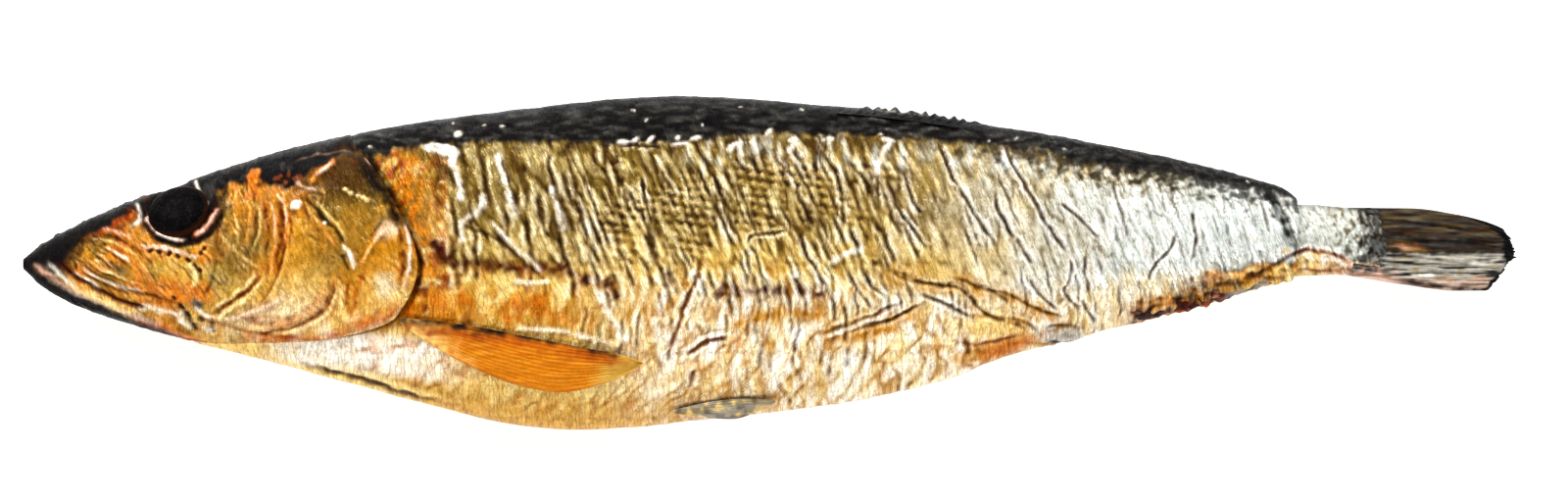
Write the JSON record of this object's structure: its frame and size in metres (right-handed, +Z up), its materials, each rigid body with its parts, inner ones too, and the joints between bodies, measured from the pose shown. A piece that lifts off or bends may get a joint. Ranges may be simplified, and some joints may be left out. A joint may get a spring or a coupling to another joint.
{
  "type": "smoked fish",
  "caption": "Whole smoked fish lying on its side: golden skin, dark back, closed gill covers, folded fins and folded tail.",
  "frame": {"origin": "middle of the outline, on the surface that the fish lies on", "axes": "-X towards the snout and +X towards the tail, +Y towards the back, -Y towards the belly, +Z up, out of the left flank"},
  "size_m": [0.26, 0.0578, 0.0254],
  "materials": {
    "smoked_skin": "satin",
    "smoked_head": "satin",
    "fin_membrane": "satin",
    "tail_membrane": "satin",
    "eye": "gloss"
  },
  "bodies": {
    "root": {"smoked_fish": "smoked_skin"}
  },
  "joints": []
}
